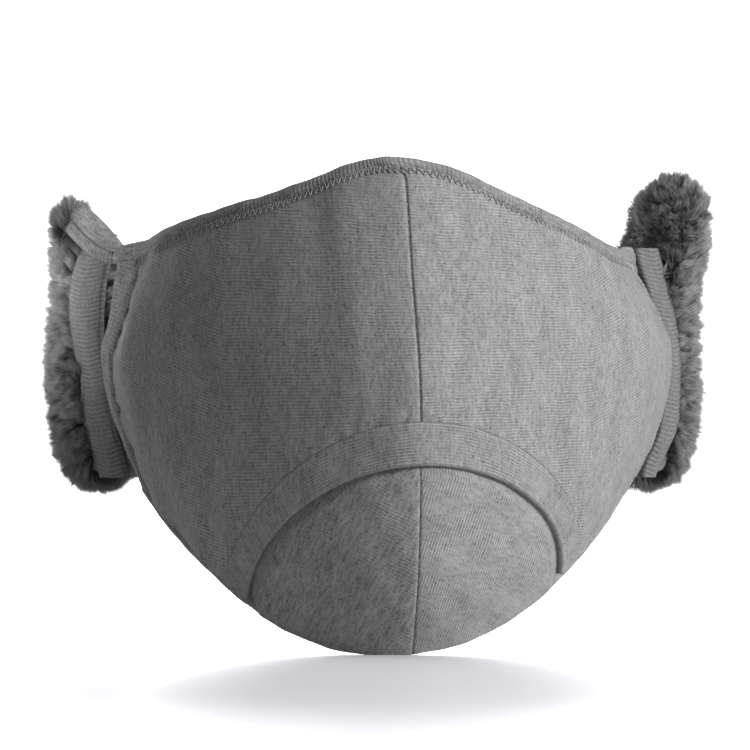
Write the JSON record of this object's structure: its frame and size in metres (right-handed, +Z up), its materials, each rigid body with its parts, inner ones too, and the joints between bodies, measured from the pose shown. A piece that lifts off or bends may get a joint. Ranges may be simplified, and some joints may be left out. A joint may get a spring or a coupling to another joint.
{
  "type": "winter riding face mask with ear muffs",
  "caption": "Grey heather jersey winter face mask with an arched breathing band, a chin cup and plush ear muffs.",
  "frame": {"origin": "midway between the wearer's ears, on the mask's middle plane", "axes": "+Z up along the wearer's head, the front of the mask faces -Y, +X is the wearer's left"},
  "size_m": [0.192, 0.1648, 0.1454],
  "materials": {
    "jersey": "heather knit",
    "lining": "brushed fleece",
    "rib": "ribbed knit",
    "plush": "long pile plush",
    "thread": "spun thread"
  },
  "bodies": {
    "mask": {"centre_seam": "thread", "arch_band": "jersey", "chin_seam": "thread", "top_binding": "rib", "lower_hem": "rib", "cheek_outer_left": "jersey", "cheek_lining_left": "lining", "chin_cup_left": "jersey", "chin_lining_left": "lining", "rear_hem_left": "rib", "cheek_outer_right": "jersey", "cheek_lining_right": "lining", "chin_cup_right": "jersey", "chin_lining_right": "lining", "rear_hem_right": "rib"},
    "ear_muff_left": {"ear_cuff_left": "rib", "ear_plush_outer_left": "plush", "ear_pocket_lining_left": "lining", "ear_plush_inner_left": "plush", "upper_tie_left": "rib", "lower_tie_left": "rib"},
    "ear_muff_right": {"ear_cuff_right": "rib", "ear_plush_outer_right": "plush", "ear_pocket_lining_right": "lining", "ear_plush_inner_right": "plush", "upper_tie_right": "rib", "lower_tie_right": "rib"}
  },
  "joints": [
    {"name": "left_muff_swing", "type": "hinge", "parent": "mask", "child": "ear_muff_left", "pos_m": [0.082, -0.0205, -0.001], "axis": [0, -0.1191, -0.9929], "range_deg": [-20, 60], "stiffness_Nm_per_rad": 0.03},
    {"name": "right_muff_swing", "type": "hinge", "parent": "mask", "child": "ear_muff_right", "pos_m": [-0.082, -0.0205, -0.001], "axis": [0, 0.1191, 0.9929], "range_deg": [-20, 60], "stiffness_Nm_per_rad": 0.03}
  ]
}
